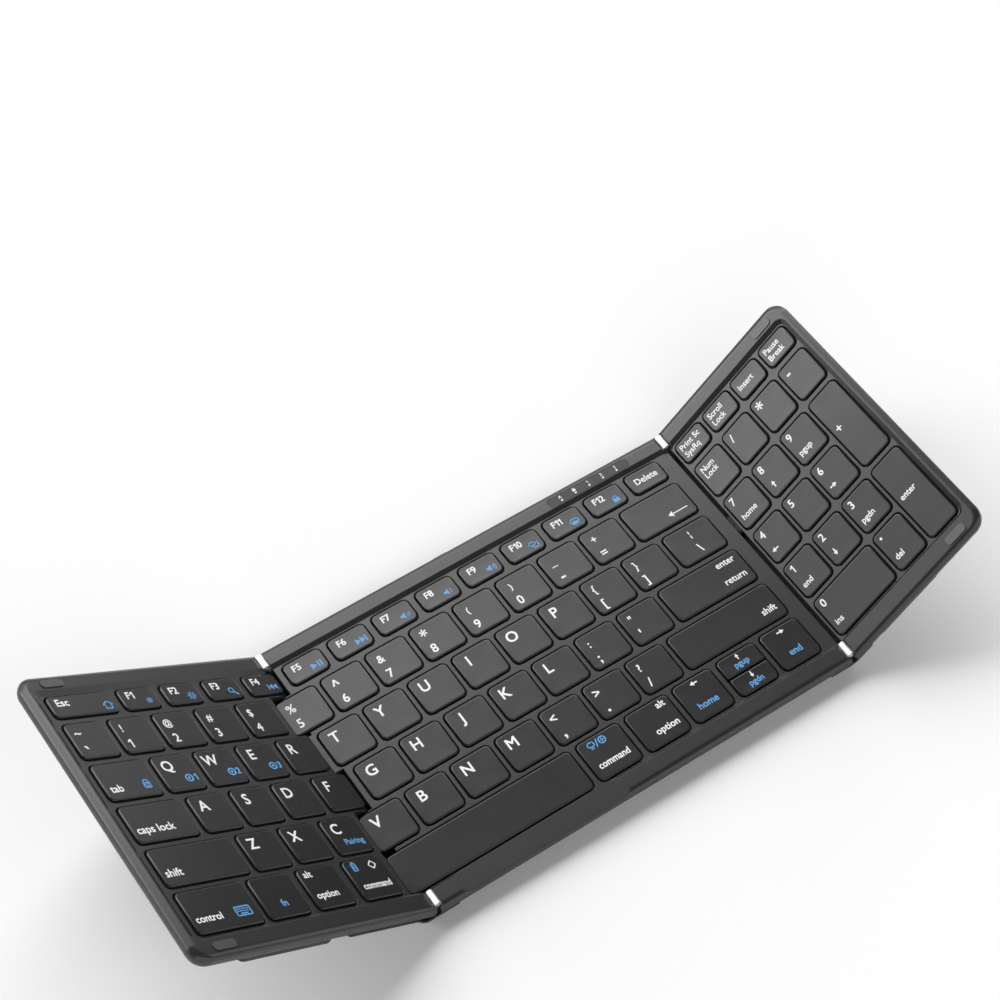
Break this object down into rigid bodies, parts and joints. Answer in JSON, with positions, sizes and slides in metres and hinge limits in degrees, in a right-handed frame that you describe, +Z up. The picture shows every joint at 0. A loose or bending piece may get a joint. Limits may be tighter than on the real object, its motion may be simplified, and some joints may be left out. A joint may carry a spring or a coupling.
{
  "type": "folding keyboard",
  "caption": "Thin folding keyboard: a middle panel with two hinged wings, low-profile sinking keys, a number pad on the right wing and a spine cover under each fold.",
  "frame": {"origin": "centre of the bounding box's underside, on the surface the feet rest on, with the wings raised as in the picture", "axes": "+X to the right along the row of panels as seen by the typist, +Y away from the typist, +Z up out of the middle panel's keys"},
  "size_m": [0.3156, 0.1204, 0.069],
  "materials": {
    "case_plastic": "fine matte texture",
    "frame_plastic": "fine matte texture",
    "key_plastic": "smooth matte",
    "plate_metal": "rolled",
    "film": "black printed film",
    "dome_rubber": "satin",
    "link_plastic": "moulded",
    "foot_rubber": "matte",
    "bumper_rubber": "matte",
    "steel": "satin",
    "cover_sheet": "fine-grained synthetic sheet",
    "circuit_board": "solder mask",
    "cell_foil": "foil wrap",
    "knob_plastic": "ribbed",
    "window_plastic": "smoked, polished"
  },
  "bodies": {
    "middle_panel": {"centre_bottom_case": "case_plastic", "centre_top_frame": "frame_plastic", "centre_support_plate": "plate_metal", "centre_membrane": "film", "centre_domes": "dome_rubber", "centre_scissors": "link_plastic", "centre_feet": "foot_rubber", "centre_screws": "steel", "centre_hinge_leaves": "steel", "main_board": "circuit_board", "battery": "cell_foil", "charging_socket": "steel", "indicator_window": "window_plastic", "left_spine_cover": "cover_sheet", "left_ribbon": "film", "right_spine_cover": "cover_sheet", "right_ribbon": "film"},
    "left_wing": {"left_bottom_case": "case_plastic", "left_top_frame": "frame_plastic", "left_support_plate": "plate_metal", "left_membrane": "film", "left_domes": "dome_rubber", "left_scissors": "link_plastic", "left_feet": "foot_rubber", "left_screws": "steel", "left_hinge_leaves": "steel", "left_hinge_pins": "steel", "left_bumpers": "bumper_rubber"},
    "right_wing": {"right_bottom_case": "case_plastic", "right_top_frame": "frame_plastic", "right_support_plate": "plate_metal", "right_membrane": "film", "right_domes": "dome_rubber", "right_scissors": "link_plastic", "right_feet": "foot_rubber", "right_screws": "steel", "right_hinge_leaves": "steel", "right_hinge_pins": "steel", "right_bumpers": "bumper_rubber"},
    "switch_knob": {"power_switch": "knob_plastic"},
    "left_function_row": {"left_function_keys": "key_plastic"},
    "left_number_row": {"left_number_keys": "key_plastic"},
    "left_upper_row": {"left_upper_keys": "key_plastic"},
    "left_middle_row": {"left_middle_keys": "key_plastic"},
    "left_lower_row": {"left_lower_keys": "key_plastic"},
    "left_front_row": {"left_front_keys": "key_plastic"},
    "centre_function_row": {"centre_function_keys": "key_plastic"},
    "centre_number_row": {"centre_number_keys": "key_plastic"},
    "centre_upper_row": {"centre_upper_keys": "key_plastic"},
    "centre_middle_row": {"centre_middle_keys": "key_plastic"},
    "centre_lower_row": {"centre_lower_keys": "key_plastic"},
    "centre_front_row": {"centre_front_keys": "key_plastic"},
    "space_bar_cap": {"space_bar": "key_plastic"},
    "enter_key_cap": {"enter_key": "key_plastic"},
    "pad_function_row": {"pad_function_keys": "key_plastic"},
    "pad_number_row": {"pad_number_keys": "key_plastic"},
    "pad_upper_row": {"pad_upper_keys": "key_plastic"},
    "pad_middle_row": {"pad_middle_keys": "key_plastic"},
    "pad_lower_row": {"pad_lower_keys": "key_plastic"},
    "pad_front_row": {"pad_front_keys": "key_plastic"}
  },
  "joints": [
    {"name": "left_fold", "type": "hinge", "parent": "middle_panel", "child": "left_wing", "pos_m": [-0.07055, 0, 0.0085], "axis": [0, 1, 0], "range_deg": [-35.9, 144.1], "deforming": ["left_spine_cover", "left_ribbon"]},
    {"name": "right_fold", "type": "hinge", "parent": "middle_panel", "child": "right_wing", "pos_m": [0.10445, 0, 0.0085], "axis": [0, -1, 0], "range_deg": [-42.65, 137.35], "deforming": ["right_spine_cover", "right_ribbon"]},
    {"name": "power_slide", "type": "slide", "parent": "middle_panel", "child": "switch_knob", "axis": [1, 0, 0], "range_m": [-0.003, 0]},
    {"name": "press_left_function_keys", "type": "slide", "parent": "left_wing", "child": "left_function_row", "axis": [-0.5864, 0, -0.81], "range_m": [0, 0.0012], "stiffness_N_per_m": 1665, "springref_m": -0.0006, "deforming": ["left_domes", "left_scissors"]},
    {"name": "press_left_number_keys", "type": "slide", "parent": "left_wing", "child": "left_number_row", "axis": [-0.5864, 0, -0.81], "range_m": [0, 0.0012], "stiffness_N_per_m": 1665, "springref_m": -0.0006, "deforming": ["left_domes", "left_scissors"]},
    {"name": "press_left_upper_keys", "type": "slide", "parent": "left_wing", "child": "left_upper_row", "axis": [-0.5864, 0, -0.81], "range_m": [0, 0.0012], "stiffness_N_per_m": 1665, "springref_m": -0.0006, "deforming": ["left_domes", "left_scissors"]},
    {"name": "press_left_middle_keys", "type": "slide", "parent": "left_wing", "child": "left_middle_row", "axis": [-0.5864, 0, -0.81], "range_m": [0, 0.0012], "stiffness_N_per_m": 1665, "springref_m": -0.0006, "deforming": ["left_domes", "left_scissors"]},
    {"name": "press_left_lower_keys", "type": "slide", "parent": "left_wing", "child": "left_lower_row", "axis": [-0.5864, 0, -0.81], "range_m": [0, 0.0012], "stiffness_N_per_m": 1332, "springref_m": -0.0006, "deforming": ["left_domes", "left_scissors"]},
    {"name": "press_left_front_keys", "type": "slide", "parent": "left_wing", "child": "left_front_row", "axis": [-0.5864, 0, -0.81], "range_m": [0, 0.0012], "stiffness_N_per_m": 1332, "springref_m": -0.0006, "deforming": ["left_domes", "left_scissors"]},
    {"name": "press_centre_function_keys", "type": "slide", "parent": "middle_panel", "child": "centre_function_row", "axis": [0, 0, -1], "range_m": [0, 0.0012], "stiffness_N_per_m": 2997, "springref_m": -0.0006, "deforming": ["centre_domes", "centre_scissors"]},
    {"name": "press_centre_number_keys", "type": "slide", "parent": "middle_panel", "child": "centre_number_row", "axis": [0, 0, -1], "range_m": [0, 0.0012], "stiffness_N_per_m": 2997, "springref_m": -0.0006, "deforming": ["centre_domes", "centre_scissors"]},
    {"name": "press_centre_upper_keys", "type": "slide", "parent": "middle_panel", "child": "centre_upper_row", "axis": [0, 0, -1], "range_m": [0, 0.0012], "stiffness_N_per_m": 2997, "springref_m": -0.0006, "deforming": ["centre_domes", "centre_scissors"]},
    {"name": "press_centre_middle_keys", "type": "slide", "parent": "middle_panel", "child": "centre_middle_row", "axis": [0, 0, -1], "range_m": [0, 0.0012], "stiffness_N_per_m": 2331, "springref_m": -0.0006, "deforming": ["centre_domes", "centre_scissors"]},
    {"name": "press_centre_lower_keys", "type": "slide", "parent": "middle_panel", "child": "centre_lower_row", "axis": [0, 0, -1], "range_m": [0, 0.0012], "stiffness_N_per_m": 2664, "springref_m": -0.0006, "deforming": ["centre_domes", "centre_scissors"]},
    {"name": "press_centre_front_keys", "type": "slide", "parent": "middle_panel", "child": "centre_front_row", "axis": [0, 0, -1], "range_m": [0, 0.0012], "stiffness_N_per_m": 1998, "springref_m": -0.0006, "deforming": ["centre_domes", "centre_scissors"]},
    {"name": "press_space_bar", "type": "slide", "parent": "middle_panel", "child": "space_bar_cap", "axis": [0, 0, -1], "range_m": [0, 0.0012], "stiffness_N_per_m": 333, "springref_m": -0.0006, "deforming": ["centre_domes", "centre_scissors"]},
    {"name": "press_enter_key", "type": "slide", "parent": "middle_panel", "child": "enter_key_cap", "axis": [0, 0, -1], "range_m": [0, 0.0012], "stiffness_N_per_m": 333, "springref_m": -0.0006, "deforming": ["centre_domes", "centre_scissors"]},
    {"name": "press_pad_function_keys", "type": "slide", "parent": "right_wing", "child": "pad_function_row", "axis": [0.6775, 0, -0.7355], "range_m": [0, 0.0012], "stiffness_N_per_m": 1332, "springref_m": -0.0006, "deforming": ["right_domes", "right_scissors"]},
    {"name": "press_pad_number_keys", "type": "slide", "parent": "right_wing", "child": "pad_number_row", "axis": [0.6775, 0, -0.7355], "range_m": [0, 0.0012], "stiffness_N_per_m": 1332, "springref_m": -0.0006, "deforming": ["right_domes", "right_scissors"]},
    {"name": "press_pad_upper_keys", "type": "slide", "parent": "right_wing", "child": "pad_upper_row", "axis": [0.6775, 0, -0.7355], "range_m": [0, 0.0012], "stiffness_N_per_m": 1332, "springref_m": -0.0006, "deforming": ["right_domes", "right_scissors"]},
    {"name": "press_pad_middle_keys", "type": "slide", "parent": "right_wing", "child": "pad_middle_row", "axis": [0.6775, 0, -0.7355], "range_m": [0, 0.0012], "stiffness_N_per_m": 999, "springref_m": -0.0006, "deforming": ["right_domes", "right_scissors"]},
    {"name": "press_pad_lower_keys", "type": "slide", "parent": "right_wing", "child": "pad_lower_row", "axis": [0.6775, 0, -0.7355], "range_m": [0, 0.0012], "stiffness_N_per_m": 1332, "springref_m": -0.0006, "deforming": ["right_domes", "right_scissors"]},
    {"name": "press_pad_front_keys", "type": "slide", "parent": "right_wing", "child": "pad_front_row", "axis": [0.6775, 0, -0.7355], "range_m": [0, 0.0012], "stiffness_N_per_m": 666, "springref_m": -0.0006, "deforming": ["right_domes", "right_scissors"]}
  ]
}
